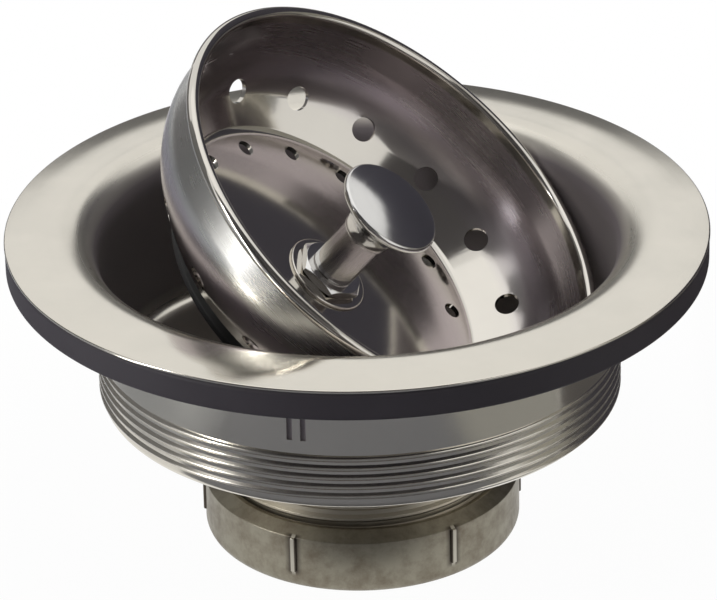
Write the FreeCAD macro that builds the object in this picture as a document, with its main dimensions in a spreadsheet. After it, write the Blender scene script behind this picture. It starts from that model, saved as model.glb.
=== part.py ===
import FreeCAD, Part
import math
import os
import re

import Sketcher

# A basket strainer for a kitchen sink, in millimetres. +Z runs up the drain, the origin is the middle of
# the coupling nut's underside, and -Y is the front. The strainer body is one drawn sheet with a flange on
# a rubber gasket, a threaded shell and an outlet. A spider sits in the outlet neck, and a coupling nut is
# started on the neck's end. The basket leans in the bowl: its rim rests on the bowl's wall at both sides and
# its cone on the edge of the outlet.

# Driving sizes

SIZES = {
    # strainer body
    "flange_width": 9.35,
    "flange_edge_round": 0.35,
    "body_sheet": 0.9,
    "mouth_radius": 5.8,
    "bowl_radius": 42.0,
    "shell_height": 29.2,
    "shell_corner_round": 1.2,
    "thread_length": 9.8,
    "thread_depth": 0.45,
    "floor_corner_round": 3.0,
    "land_width": 7.9,
    "land_drop": 1.8,
    "collar_radius": 18.5,
    "collar_length": 5.0,
    "collar_bend": 1.6,
    "notch_width": 0.9,
    "notch_spacing": 2.2,
    "notch_depth": 0.4,
    "notch_length": 11.4,
    "notch_angle": -103.7,
    # flange gasket
    "gasket_thickness": 4.8,
    "gasket_inset": 0.1,
    "gasket_gap": 0.15,
    "gasket_edge_round": 0.7,
    # outlet neck and its spider
    "neck_length": 15.6,
    "neck_wall": 3.95,
    "neck_thread_depth": 0.5,
    "neck_plain_length": 2.0,
    "neck_step": 0.9,
    "neck_lead": 0.6,
    "neck_flange_width": 3.6,
    "neck_flange_thickness": 2.2,
    "press_gap": 0.05,
    "spider_thickness": 1.6,
    "spider_ring_width": 2.0,
    "spider_arm_width": 3.6,
    "spider_arm_count": 4,
    "spider_arm_angle": 45.0,
    "spider_hub_width": 3.0,
    "spider_hub_bore": 5.6,
    # coupling nut and its washer
    "nut_wall": 2.6,
    "nut_height": 11.1,
    "nut_foot_round": 1.9,
    "nut_chamfer_width": 2.0,
    "nut_chamfer_height": 1.6,
    "nut_lip": 2.2,
    "nut_lip_width": 3.7,
    "nut_rib_width": 1.1,
    "nut_rib_height": 0.4,
    "nut_rib_foot": 3.2,
    "nut_rib_angle": 4.0,
    "nut_rib_count": 6,
    "thread_gap": 0.1,
    "nut_travel": 3.3,
    "washer_thickness": 2.0,
    "washer_gap": 0.25,
    "washer_bore_gap": 0.4,
    "washer_seat_gap": 0.05,
    "stop_gap": 0.3,
    # basket cup
    "rim_clearance": 1.7,
    "rim_height": 2.0,
    "rim_overhang": 1.2,
    "rim_round": 0.85,
    "cup_sheet": 0.8,
    "cup_depth": 21.2,
    "cup_cone_width": 8.9,
    "cup_cone_angle": 45.0,
    "cup_wall_round": 3.2,
    "cup_floor_round": 2.0,
    "side_hole_radius": 2.05,
    "side_hole_inset": 3.9,
    "floor_hole_radius": 1.45,
    "floor_hole_inset": 3.8,
    "hole_count": 16,
    "hole_angle": 19.0,
    # post, knob and the nuts that clamp the stack
    "post_radius": 3.8,
    "shank_step": 1.4,
    "shank_gap": 0.1,
    "spigot_step": 1.6,
    "spigot_length": 2.0,
    "post_washer_margin": 1.2,
    "post_washer_thickness": 0.5,
    "disc_edge_round": 0.3,
    "post_nut_wall": 2.7,
    "post_nut_height": 1.5,
    "post_nut_angle": 25.0,
    "small_nut_chamfer": 0.5,
    "small_nut_flat_count": 6,
    "knob_radius": 8.9,
    "knob_height": 8.6,
    "knob_drop": 0.7,
    "knob_neck_step": 0.4,
    "knob_neck_length": 2.6,
    "knob_flare_round": 5.0,
    "knob_rim_height": 0.9,
    "knob_rim_round": 0.5,
    "knob_edge_round": 0.4,
    "knob_crown_angle": 25.0,
    # stopper and snap clip under the cup
    "seal_inset": 3.2,
    "seal_core": 3.0,
    "seal_droop": 1.7,
    "seal_lip": 1.2,
    "seal_bevel": 3.0,
    "seal_edge_round": 0.5,
    "retainer_radius": 13.0,
    "retainer_thickness": 1.0,
    "clip_strip": 0.8,
    "clip_margin": 1.6,
    "clip_leg": 9.0,
    "clip_bow_height": 4.0,
    "clip_bow_drop": 2.7,
    "clip_play": 0.2,
    "clip_snap": 1.1,
    "clip_tip": 2.4,
    "clip_bend": 1.4,
    "end_nut_wall": 1.0,
    "end_nut_height": 2.8,
    "shank_end": 0.8,
    # how the basket leans
    "lean_angle": 39.2,
    "lean_direction": -21.35,
    "lean_gap": 0.3,
}

# Heights, radii and angles worked out from the driving sizes

PLACES = {
    # heights up the drain axis
    "washer_under": "nut_lip + washer_seat_gap",
    "neck_end": "washer_under + washer_thickness + nut_travel + stop_gap",
    "land_under": "neck_end + neck_length",
    "land_top": "land_under + body_sheet",
    "shell_bottom": "land_under + land_drop",
    "floor_top": "shell_bottom + body_sheet",
    "thread_top": "shell_bottom + thread_length",
    "flange_top": "shell_bottom + shell_height",
    "flange_under": "flange_top - body_sheet",
    "gasket_bottom": "flange_under - gasket_thickness",
    "collar_end": "land_under - collar_length",
    "spider_under": "collar_end - spider_thickness",
    "neck_flange_under": "land_under - neck_flange_thickness",
    "neck_thread_top": "neck_flange_under - neck_plain_length",
    # radii about the drain axis
    "shell_radius": "bowl_radius + body_sheet",
    "flange_radius": "bowl_radius + mouth_radius + flange_width",
    "mouth_under_round": "mouth_radius - body_sheet",
    "thread_root": "shell_radius - thread_depth",
    "gasket_mouth": "shell_radius + mouth_under_round + gasket_gap",
    "gasket_bore": "gasket_mouth - sqrt(mouth_under_round^2 - max(0; mouth_under_round - gasket_thickness)^2)",
    "land_radius": "collar_radius + collar_bend + land_width",
    "collar_outside": "collar_radius + body_sheet",
    "neck_socket": "collar_outside + press_gap",
    "neck_bore": "collar_radius - neck_step",
    "neck_radius": "neck_socket + neck_wall",
    "neck_root": "neck_radius - neck_thread_depth",
    "neck_flange_radius": "neck_radius + neck_flange_width",
    "spider_hub_radius": "spider_hub_bore + spider_hub_width",
    "nut_bore": "neck_radius + thread_gap",
    "nut_radius": "nut_bore + nut_wall",
    "nut_shoulder": "nut_height - nut_chamfer_height",
    "tail_hole_radius": "nut_bore - nut_lip_width",
    # the basket's own heights, from the tip of its clip up its axis
    "clip_plate_under": "clip_leg",
    "retainer_under": "clip_plate_under + clip_strip",
    "seal_under": "retainer_under + retainer_thickness",
    "cup_under": "seal_under + seal_core",
    "cup_floor": "cup_under + cup_sheet",
    "post_nut_under": "cup_floor + post_washer_thickness",
    "post_shoulder": "post_nut_under + post_nut_height",
    "rim_top": "cup_under + cup_depth",
    "rim_under": "rim_top - rim_height",
    "rim_middle": "rim_top - rim_height / 2",
    "knob_top": "rim_top - knob_drop",
    "knob_under": "knob_top - knob_height",
    "end_nut_under": "clip_plate_under - end_nut_height",
    # radii about the basket's axis
    "rim_radius": "bowl_radius - rim_clearance",
    "cup_wall": "rim_radius - rim_overhang",
    "cup_inside": "cup_wall - cup_sheet",
    "cup_floor_radius": "cup_wall - cup_cone_width",
    "side_hole_ring": "cup_wall - side_hole_inset",
    "floor_hole_ring": "cup_floor_radius - floor_hole_inset",
    "cup_slope": "tan(cup_cone_angle * 1deg)",
    "cup_cone_top": "cup_under + cup_cone_width * cup_slope",
    "cone_inner_top": "cup_cone_top + cup_sheet * tan((90 - cup_cone_angle) * 0.5deg)",
    "cone_inner_floor": "cup_floor_radius - cup_sheet * tan(cup_cone_angle * 0.5deg)",
    "shank_radius": "post_radius - shank_step",
    "spigot_radius": "post_radius - spigot_step",
    "shank_bore": "shank_radius + shank_gap",
    "knob_neck_radius": "post_radius + knob_neck_step",
    "knob_crown_middle": "knob_radius / (1 + cos(knob_crown_angle * 1deg))",
    "knob_crown_round": "0.9 * knob_crown_middle / tan(knob_crown_angle * 0.5deg)",
    "knob_edge_height": "knob_top - (knob_radius - knob_crown_middle) * tan(knob_crown_angle * 1deg)",
    "post_nut_distance": "shank_bore + post_nut_wall",
    "post_nut_corner": "post_nut_distance / cos(30deg)",
    "post_washer_radius": "post_nut_corner + post_washer_margin",
    "end_nut_distance": "shank_bore + end_nut_wall",
    "end_nut_corner": "end_nut_distance / cos(30deg)",
    "seal_radius": "cup_floor_radius - seal_inset",
    "clip_shoulder": "spider_hub_bore - clip_play",
    "clip_bulge": "spider_hub_bore + clip_snap",
}

Y_AXIS = FreeCAD.Vector(0, 1, 0)
Z_AXIS = FreeCAD.Vector(0, 0, 1)

doc = FreeCAD.newDocument("SinkStrainer")
sheet = doc.addObject("Spreadsheet::Sheet", "Sizes")
for row, (alias, size) in enumerate(SIZES.items(), start=1):
    sheet.set(f"A{row}", alias)
    sheet.set(f"B{row}", str(size))
    sheet.setAlias(f"B{row}", alias)
doc.recompute()


def formula(text):
    """Write a formula in the names above as an expression on the sheet's cells."""

    def cell(match):
        word = match.group()
        if word in SIZES:
            return "Sizes." + word
        if word in PLACES:
            return "(" + formula(PLACES[word]) + ")"
        return word

    return re.sub(r"[a-z_]{2,}", cell, text)


def value(text):
    return float(sheet.evalExpression(formula(text)))


# Sketches, features and bodies


def origin_feature(body, role):
    return next(feature for feature in body.Origin.OriginFeatures if feature.Role == role)


def new_body(label, placement=FreeCAD.Placement()):
    body = doc.addObject("PartDesign::Body", label)
    body.Label = label
    body.Placement = placement
    return body


def new_sketch(body, name, role, height="0", turn="0"):
    """A sketch on an origin plane, raised along its normal and turned about it."""
    sketch = body.newObject("Sketcher::SketchObject", f"{body.Name}_{name}")
    sketch.AttachmentSupport = [(origin_feature(body, role), "")]
    sketch.MapMode = "FlatFace"
    sketch.AttachmentOffset = FreeCAD.Placement(FreeCAD.Vector(), FreeCAD.Rotation(Z_AXIS, value(turn)))
    sketch.setExpression("AttachmentOffset.Base.z", formula(height))
    return sketch


def pin_point(sketch, geometry, end, corner):
    """Hold a point of a sketch at a corner's two formulas."""
    for kind, axis, text in (("DistanceX", -2, corner[0]), ("DistanceY", -1, corner[1])):
        if text == "0":
            sketch.addConstraint(Sketcher.Constraint("PointOnObject", geometry, end, axis))
        else:
            index = sketch.addConstraint(Sketcher.Constraint(kind, -1, 1, geometry, end, value(text)))
            sketch.setExpression(f"Constraints[{index}]", formula(text))


def corner_arc(before, corner, after, radius):
    """The arc that rounds a corner, where it starts and ends on the way round, and if it turns left."""
    way_in = (corner - before).normalize()
    way_out = (after - corner).normalize()
    cut = radius * math.tan(way_in.getAngle(way_out) / 2)
    start = corner - way_in * cut
    end = corner + way_out * cut
    left = way_in.cross(way_out).z > 0
    side = Z_AXIS.cross(way_in) * (1 if left else -1)
    circle = Part.Circle(start + side * radius, Z_AXIS, radius)
    first, last = (start, end) if left else (end, start)
    return Part.ArcOfCircle(circle, circle.parameter(first), circle.parameter(last)), start, end, left


def outline(sketch, corners):
    """A closed outline round corners (x, y) or (x, y, rounding), with every number a formula."""
    points = [FreeCAD.Vector(value(corner[0]), value(corner[1]), 0) for corner in corners]
    count = len(corners)
    arcs = {}
    starts = list(points)
    ends = list(points)
    for i, corner in enumerate(corners):
        if len(corner) == 3:
            arc, starts[i], ends[i], left = corner_arc(
                points[i - 1], points[i], points[(i + 1) % count], value(corner[2]))
            arcs[i] = (sketch.addGeometry(arc), left)
    lines = [sketch.addGeometry(Part.LineSegment(ends[i], starts[(i + 1) % count])) for i in range(count)]
    for i, corner in enumerate(corners):
        line_in, line_out = lines[i - 1], lines[i]
        if i not in arcs:
            sketch.addConstraint(Sketcher.Constraint("Coincident", line_in, 2, line_out, 1))
            pin_point(sketch, line_out, 1, corner)
            continue
        arc, left = arcs[i]
        first, last = (1, 2) if left else (2, 1)
        sharp = sketch.addGeometry(Part.Point(points[i]), True)
        pin_point(sketch, sharp, 1, corner)
        sketch.addConstraint(Sketcher.Constraint("PointOnObject", sharp, 1, line_in))
        sketch.addConstraint(Sketcher.Constraint("PointOnObject", sharp, 1, line_out))
        sketch.addConstraint(Sketcher.Constraint("Tangent", line_in, 2, arc, first))
        sketch.addConstraint(Sketcher.Constraint("Tangent", arc, last, line_out, 1))
        index = sketch.addConstraint(Sketcher.Constraint("Radius", arc, value(corner[2])))
        sketch.setExpression(f"Constraints[{index}]", formula(corner[2]))


def rectangle(sketch, low, high):
    outline(sketch, [low, (high[0], low[1]), high, (low[0], high[1])])


def circle(sketch, centre_x, radius):
    """A circle on the sketch's X axis."""
    place = FreeCAD.Vector(value(centre_x), 0, 0)
    ring = sketch.addGeometry(Part.Circle(place, Z_AXIS, value(radius)))
    pin_point(sketch, ring, 3, (centre_x, "0"))
    index = sketch.addConstraint(Sketcher.Constraint("Radius", ring, value(radius)))
    sketch.setExpression(f"Constraints[{index}]", formula(radius))


def revolve(body, name, corners):
    """Turn an outline of radius and height all the way round the body's Z axis."""
    sketch = new_sketch(body, name + "_profile", "XZ_Plane")
    outline(sketch, corners)
    feature = body.newObject("PartDesign::Revolution", f"{body.Name}_{name}")
    feature.Profile = sketch
    feature.ReferenceAxis = (sketch, ["V_Axis"])
    feature.Angle = 360
    return feature


def pad(body, name, sketch, length, midplane=False):
    feature = body.newObject("PartDesign::Pad", f"{body.Name}_{name}")
    feature.Profile = sketch
    feature.Midplane = midplane
    feature.setExpression("Length", formula(length))
    return feature


def pocket(body, name, sketch, length):
    """Cut a sketch's outline upwards from its plane, and check that it took something away."""
    doc.recompute()
    before = body.Shape.Volume
    feature = body.newObject("PartDesign::Pocket", f"{body.Name}_{name}")
    feature.Profile = sketch
    feature.Reversed = True
    feature.setExpression("Length", formula(length))
    doc.recompute()
    if body.Shape.Volume >= before:
        raise RuntimeError(f"{name} cut nothing from {body.Label}")
    return feature


def repeat_round(body, feature, count):
    """Repeat a feature evenly round the body's Z axis."""
    pattern = body.newObject("PartDesign::PolarPattern", feature.Name + "_ring")
    pattern.Originals = [feature]
    pattern.Axis = (origin_feature(body, "Z_Axis"), [""])
    pattern.Angle = 360
    pattern.setExpression("Occurrences", formula(count))
    body.Tip = pattern
    return pattern


def cut_flats(body, distance, corner, under, length, turn, count):
    """Mill flats round a turned blank, from a height up through its top."""
    sketch = new_sketch(body, "flat_outline", "XY_Plane", under, turn)
    reach = f"2 * ({corner})"
    rectangle(sketch, (distance, f"-({reach})"), (reach, reach))
    repeat_round(body, pocket(body, "flat", sketch, length), count)


# Strainer body: flange, bell mouth, threaded shell, floor with the stopper's land, and outlet collar


def make_strainer_body():
    body = new_body("strainer_body")
    revolve(body, "drawn_sheet", [
        ("flange_radius", "flange_under", "flange_edge_round"),
        ("flange_radius", "flange_top", "flange_edge_round"),
        ("bowl_radius", "flange_top", "mouth_radius"),
        ("bowl_radius", "floor_top", "floor_corner_round"),
        ("land_radius", "land_top"),
        ("collar_radius", "land_top", "collar_bend"),
        ("collar_radius", "collar_end"),
        ("collar_outside", "collar_end"),
        ("collar_outside", "land_under"),
        ("land_radius", "land_under"),
        ("thread_root", "shell_bottom", "shell_corner_round"),
        ("thread_root", "thread_top - thread_depth"),
        ("shell_radius", "thread_top"),
        ("shell_radius", "flange_under", "mouth_under_round"),
    ])
    notches = new_sketch(body, "notch_outline", "XY_Plane", "gasket_bottom - notch_length", "notch_angle")
    for side in ("-", ""):
        middle = f"{side}notch_spacing / 2"
        rectangle(notches, ("shell_radius - notch_depth", f"{middle} - notch_width / 2"),
                  ("shell_radius + notch_depth", f"{middle} + notch_width / 2"))
    pocket(body, "notches", notches, "notch_length + gasket_thickness / 2")
    return body


def make_flange_gasket():
    body = new_body("flange_gasket")
    revolve(body, "ring", [
        ("gasket_bore", "gasket_bottom"),
        ("flange_radius - gasket_inset", "gasket_bottom", "gasket_edge_round"),
        ("flange_radius - gasket_inset", "flange_under", "gasket_edge_round"),
        ("gasket_mouth", "flange_under"),
    ])
    return body


# Outlet neck, brazed under the land, and the spider that it traps against the collar


def make_outlet_neck():
    body = new_body("outlet_neck")
    revolve(body, "turned_neck", [
        ("neck_bore", "neck_end"),
        ("neck_root - neck_lead", "neck_end"),
        ("neck_root", "neck_end + neck_lead"),
        ("neck_root", "neck_thread_top - neck_thread_depth"),
        ("neck_radius", "neck_thread_top"),
        ("neck_radius", "neck_flange_under", "neck_lead"),
        ("neck_flange_radius", "neck_flange_under", "neck_lead"),
        ("neck_flange_radius", "land_under"),
        ("neck_socket", "land_under"),
        ("neck_socket", "spider_under"),
        ("neck_bore", "spider_under"),
    ])
    return body


def make_outlet_spider():
    body = new_body("outlet_spider")
    ring_inside = "(collar_radius - spider_ring_width)"
    revolve(body, "ring", [
        (ring_inside, "spider_under"),
        ("collar_outside", "spider_under"),
        ("collar_outside", "collar_end"),
        (ring_inside, "collar_end"),
    ])
    arm = new_sketch(body, "arm_outline", "XY_Plane", "spider_under", "spider_arm_angle")
    rectangle(arm, ("0", "-spider_arm_width / 2"),
              (f"{ring_inside} + spider_ring_width / 2", "spider_arm_width / 2"))
    repeat_round(body, pad(body, "arm", arm, "spider_thickness"), "spider_arm_count")
    hub = new_sketch(body, "hub_outline", "XY_Plane", "spider_under")
    circle(hub, "0", "spider_hub_radius")
    pad(body, "hub", hub, "spider_thickness")
    bore = new_sketch(body, "bore_outline", "XY_Plane", "spider_under")
    circle(bore, "0", "spider_hub_bore")
    pocket(body, "bore", bore, "spider_thickness")
    return body


# Coupling nut, round with six slim grip ribs and a lip for the tail pipe's flange, and the washer on that lip


def make_coupling_nut():
    body = new_body("coupling_nut")
    revolve(body, "turned_blank", [
        ("tail_hole_radius", "0"),
        ("nut_radius", "0", "nut_foot_round"),
        ("nut_radius", "nut_shoulder"),
        ("nut_radius - nut_chamfer_width", "nut_height"),
        ("nut_bore", "nut_height"),
        ("nut_bore", "nut_lip"),
        ("tail_hole_radius", "nut_lip"),
    ])
    rib = new_sketch(body, "rib_outline", "XY_Plane", "nut_rib_foot", "nut_rib_angle")
    rectangle(rib, ("nut_radius - nut_wall / 2", "-nut_rib_width / 2"),
              ("nut_radius + nut_rib_height", "nut_rib_width / 2"))
    repeat_round(body, pad(body, "rib", rib, "nut_shoulder - nut_rib_foot"), "nut_rib_count")
    return body


def make_tail_washer():
    body = new_body("tail_washer")
    ring_top = "washer_under + washer_thickness"
    revolve(body, "ring", [
        ("tail_hole_radius + washer_bore_gap", "washer_under"),
        ("nut_bore - washer_gap", "washer_under"),
        ("nut_bore - washer_gap", ring_top),
        ("tail_hole_radius + washer_bore_gap", ring_top),
    ])
    return body


# Where the basket leans. Its rim's widest circle meets the bowl's wall at both sides, and it comes down until
# the lowest line of its cone meets the bend of the outlet, or the top of that line meets the bowl's floor.


def lean_placement():
    tilt = math.radians(value("lean_angle"))
    rise = math.radians(value("cup_cone_angle - lean_angle"))
    gap = value("lean_gap")
    offset = math.sin(tilt) * math.sqrt((value("bowl_radius") - gap) ** 2 - value("rim_radius") ** 2)

    def lowest(radius, below_rim):
        """How far out, and how far under the rim's middle, the low side of a circle of the basket lies."""
        out = offset - below_rim * math.sin(tilt) + radius * math.cos(tilt)
        return out, below_rim * math.cos(tilt) + radius * math.sin(tilt)

    foot_out, foot_depth = lowest(value("cup_floor_radius"), value("rim_middle - cup_under"))
    shoulder_out, shoulder_depth = lowest(value("cup_wall"), value("rim_middle - cup_cone_top"))
    bend = value("collar_bend")
    along_edge = (value("collar_radius") + bend - foot_out) * math.sin(rise)
    on_outlet = value("land_top") - bend + (bend + gap - along_edge) / math.cos(rise) + foot_depth
    floor_slope = value("land_drop / (bowl_radius - land_radius)")
    floor_height = value("land_top") + max(0, shoulder_out - value("land_radius")) * floor_slope
    on_floor = floor_height + gap + shoulder_depth
    turn = FreeCAD.Rotation(Z_AXIS, value("lean_direction"))
    rotation = turn * FreeCAD.Rotation(Y_AXIS, value("lean_angle"))
    rim_centre = turn * FreeCAD.Vector(offset, 0, 0) + FreeCAD.Vector(0, 0, max(on_outlet, on_floor))
    return FreeCAD.Placement(rim_centre - rotation * FreeCAD.Vector(0, 0, value("rim_middle")), rotation)


# Basket cup: curled rim, straight wall, cone with a ring of large holes, floor with a ring of small ones


def make_basket_cup(lean):
    ring_turn = FreeCAD.Rotation(Z_AXIS, value("hole_angle"))
    body = new_body("basket_cup", lean * FreeCAD.Placement(FreeCAD.Vector(), ring_turn))
    revolve(body, "drawn_cup", [
        ("shank_bore", "cup_under"),
        ("cup_floor_radius", "cup_under", "cup_floor_round"),
        ("cup_wall", "cup_cone_top", "cup_wall_round"),
        ("cup_wall", "rim_under"),
        ("rim_radius", "rim_under", "rim_round"),
        ("rim_radius", "rim_top", "rim_round"),
        ("cup_inside", "rim_top", "rim_round"),
        ("cup_inside", "cone_inner_top", "cup_wall_round - cup_sheet"),
        ("cone_inner_floor", "cup_floor", "cup_floor_round - cup_sheet"),
        ("shank_bore", "cup_floor"),
    ])
    cut_side_holes(body)
    floor_hole = new_sketch(body, "floor_hole_outline", "XY_Plane", "cup_under")
    circle(floor_hole, "floor_hole_ring", "floor_hole_radius")
    repeat_round(body, pocket(body, "floor_hole", floor_hole, "cup_sheet"), "hole_count")
    return body


def cut_side_holes(body):
    """Holes square to the cone: half a hole's section is turned about its own slanted axis."""
    hole = new_sketch(body, "side_hole_profile", "XZ_Plane")
    along_x, along_y = "cos(cup_cone_angle * 1deg)", "sin(cup_cone_angle * 1deg)"
    middle_y = "cup_under + (side_hole_ring - cup_floor_radius) * cup_slope"
    corners = []
    for depth, width in ((2, 0), (2, 1), (-2, 1), (-2, 0)):
        out = f"{depth} * cup_sheet"
        across = f"{width} * side_hole_radius"
        corners.append((f"side_hole_ring + {out} * {along_y} + {across} * {along_x}",
                        f"{middle_y} - {out} * {along_x} + {across} * {along_y}"))
    outline(hole, corners)
    ends = [FreeCAD.Vector(value(corner[0]), value(corner[1]), 0) for corner in (corners[0], corners[-1])]
    axis = hole.addGeometry(Part.LineSegment(*ends), True)
    for end, corner in ((1, corners[0]), (2, corners[-1])):
        pin_point(hole, axis, end, corner)
    doc.recompute()
    before = body.Shape.Volume
    groove = body.newObject("PartDesign::Groove", "side_hole")
    groove.Profile = hole
    groove.ReferenceAxis = (hole, ["Axis0"])
    groove.Angle = 360
    doc.recompute()
    if body.Shape.Volume >= before:
        raise RuntimeError("the side hole cut nothing")
    ring = repeat_round(body, groove, "hole_count")
    doc.recompute()
    return ring


# Post with its shoulder on the upper nut and a shank through the stack, and the flared knob on its spigot


def make_basket_post(lean):
    body = new_body("basket_post", lean)
    shank_end = "end_nut_under - shank_end"
    revolve(body, "turned_post", [
        ("0", shank_end),
        ("shank_radius - small_nut_chamfer", shank_end),
        ("shank_radius", f"{shank_end} + small_nut_chamfer"),
        ("shank_radius", "post_shoulder"),
        ("post_radius", "post_shoulder"),
        ("post_radius", "knob_under"),
        ("spigot_radius", "knob_under"),
        ("spigot_radius", "knob_under + spigot_length"),
        ("0", "knob_under + spigot_length"),
    ])
    return body


def make_pull_knob(lean):
    body = new_body("pull_knob", lean)
    revolve(body, "flared_knob", [
        ("spigot_radius + press_gap", "knob_under"),
        ("knob_neck_radius", "knob_under"),
        ("knob_neck_radius", "knob_under + knob_neck_length", "knob_flare_round"),
        ("knob_radius", "knob_edge_height - knob_rim_height", "knob_rim_round"),
        ("knob_radius", "knob_edge_height", "knob_edge_round"),
        ("knob_crown_middle", "knob_top", "knob_crown_round"),
        ("0", "knob_top"),
        ("0", "knob_under + spigot_length + press_gap"),
        ("spigot_radius + press_gap", "knob_under + spigot_length + press_gap"),
    ])
    return body


def make_small_nut(label, lean, distance, corner, under, height, turn="0"):
    """A hexagon nut on the shank, chamfered where its corners meet its faces."""
    body = new_body(label, lean)
    top = f"{under} + {height}"
    face = f"{corner} - small_nut_chamfer / tan(30deg)"
    revolve(body, "turned_blank", [
        ("shank_bore", under),
        (face, under),
        (corner, f"{under} + small_nut_chamfer"),
        (corner, f"{top} - small_nut_chamfer"),
        (face, top),
        ("shank_bore", top),
    ])
    cut_flats(body, distance, corner, under, height, turn, "small_nut_flat_count")
    return body


def make_post_washer(lean):
    body = new_body("post_washer", lean)
    revolve(body, "disc", [
        ("shank_bore", "cup_floor"),
        ("post_washer_radius", "cup_floor"),
        ("post_washer_radius", "post_nut_under", "disc_edge_round"),
        ("shank_bore", "post_nut_under"),
    ])
    return body


# Stopper seal, its retainer and the snap clip, clamped under the cup by the end nut


def make_stopper_seal(lean):
    body = new_body("stopper_seal", lean)
    lip_under = "seal_under - seal_droop"
    revolve(body, "moulded_disc", [
        ("shank_bore", "seal_under"),
        ("retainer_radius + seal_lip", "seal_under"),
        ("seal_radius - seal_bevel / 2", lip_under),
        ("seal_radius", lip_under, "seal_edge_round"),
        ("seal_radius", f"{lip_under} + seal_lip"),
        ("seal_radius - seal_bevel", "cup_under"),
        ("shank_bore", "cup_under"),
    ])
    return body


def make_seal_retainer(lean):
    body = new_body("seal_retainer", lean)
    revolve(body, "disc", [
        ("shank_bore", "retainer_under"),
        ("retainer_radius", "retainer_under", "disc_edge_round"),
        ("retainer_radius", "seal_under"),
        ("shank_bore", "seal_under"),
    ])
    return body


def make_snap_clip(lean):
    """A bent spring strip: a plate with the shank's hole and two bowed legs that snap into the spider's hub."""
    body = new_body("snap_clip", lean)
    half = new_sketch(body, "half_strip", "XZ_Plane")
    bow_top = "clip_plate_under - clip_bow_drop"
    outline(half, [
        ("0", "retainer_under"),
        ("0", "clip_plate_under"),
        ("clip_shoulder - clip_strip", "clip_plate_under", "clip_bend - clip_strip"),
        ("clip_shoulder - clip_strip", bow_top),
        ("clip_bulge - clip_strip", "clip_bow_height", "clip_bend - clip_strip"),
        ("clip_tip - clip_strip", "0"),
        ("clip_tip", "0"),
        ("clip_bulge", "clip_bow_height", "clip_bend"),
        ("clip_shoulder", bow_top),
        ("clip_shoulder", "retainer_under", "clip_bend"),
    ])
    leg = pad(body, "leg", half, "2 * (shank_bore + clip_margin)", midplane=True)
    doc.recompute()
    mirror = body.newObject("PartDesign::Mirrored", "clip_mirror")
    mirror.Originals = [leg]
    mirror.MirrorPlane = (origin_feature(body, "YZ_Plane"), [""])
    body.Tip = mirror
    bore = new_sketch(body, "bore_outline", "XY_Plane", "clip_plate_under")
    circle(bore, "0", "shank_bore")
    pocket(body, "bore", bore, "clip_strip")
    return body


def make_parts():
    lean = lean_placement()
    return [
        make_strainer_body(),
        make_flange_gasket(),
        make_outlet_neck(),
        make_outlet_spider(),
        make_coupling_nut(),
        make_tail_washer(),
        make_basket_cup(lean),
        make_basket_post(lean),
        make_pull_knob(lean),
        make_post_washer(lean),
        make_small_nut("post_nut", lean, "post_nut_distance", "post_nut_corner",
                       "post_nut_under", "post_nut_height", "post_nut_angle"),
        make_stopper_seal(lean),
        make_seal_retainer(lean),
        make_snap_clip(lean),
        make_small_nut("end_nut", lean, "end_nut_distance", "end_nut_corner",
                       "end_nut_under", "end_nut_height"),
    ]


def check_parts(parts):
    """Stop if a feature failed, a sketch is loose or a part is not one valid solid."""
    for item in doc.Objects:
        if "Invalid" in item.State or "Error" in item.State:
            raise RuntimeError(f"{item.Label} failed: {item.State}")
        if item.TypeId == "Sketcher::SketchObject" and not item.FullyConstrained:
            raise RuntimeError(f"{item.Label} is not fully constrained")
    for part in parts:
        shape = part.Shape
        if shape.isNull() or not shape.isValid() or len(shape.Solids) != 1:
            raise RuntimeError(f"{part.Label} is not one valid solid")


def main():
    parts = make_parts()
    doc.recompute()
    check_parts(parts)
    os.makedirs("parts", exist_ok=True)
    for part in parts:
        part.Shape.exportStep(f"parts/{part.Label}.step")
        box = part.Shape.BoundBox
        print(f"{part.Label}: {part.Shape.Volume:.0f} mm3, z {box.ZMin:.2f} to {box.ZMax:.2f}")


main()
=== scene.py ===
# %% [markdown]
# # A sink strainer, piece by piece
#
# This lesson dresses a basket strainer for a kitchen sink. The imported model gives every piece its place
# and size, so the first step loads it and keeps its box. The object's lengths are in millimetres and are
# turned into metres by MM when they reach Blender. The stage round it is large, and its lengths are in
# metres.

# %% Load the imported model
import math

import bpy
from mathutils import Matrix, Vector


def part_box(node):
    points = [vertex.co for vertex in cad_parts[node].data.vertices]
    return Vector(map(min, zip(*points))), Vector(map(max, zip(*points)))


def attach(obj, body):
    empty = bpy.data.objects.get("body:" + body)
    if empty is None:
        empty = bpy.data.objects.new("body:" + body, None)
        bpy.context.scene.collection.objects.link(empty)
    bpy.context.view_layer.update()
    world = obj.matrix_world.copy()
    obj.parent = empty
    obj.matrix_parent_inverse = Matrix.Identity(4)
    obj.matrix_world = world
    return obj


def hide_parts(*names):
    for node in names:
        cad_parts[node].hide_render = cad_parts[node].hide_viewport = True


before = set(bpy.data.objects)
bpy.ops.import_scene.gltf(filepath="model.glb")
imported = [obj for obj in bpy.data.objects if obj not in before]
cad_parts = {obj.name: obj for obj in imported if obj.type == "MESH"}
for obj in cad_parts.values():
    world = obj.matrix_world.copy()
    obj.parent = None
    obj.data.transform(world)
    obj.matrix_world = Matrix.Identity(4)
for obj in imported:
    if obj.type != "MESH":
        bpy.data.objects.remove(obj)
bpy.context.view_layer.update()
MM = 0.001

# %% [markdown]
# ## Working on one piece at a time
#
# An operator acts on everything that is selected, and the loaded nodes are selected too. So each step
# starts by selecting one piece alone. In edit mode, vertices are picked by asking a question of their
# place. A modifier is added, set and applied in one go, so that the mesh holds its result.


# %% Select a piece or some of its points, and apply a modifier
def only(piece):
    """Select a piece alone and make it the active one."""
    bpy.ops.object.select_all(action="DESELECT")
    piece.select_set(True)
    bpy.context.view_layer.objects.active = piece


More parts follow.
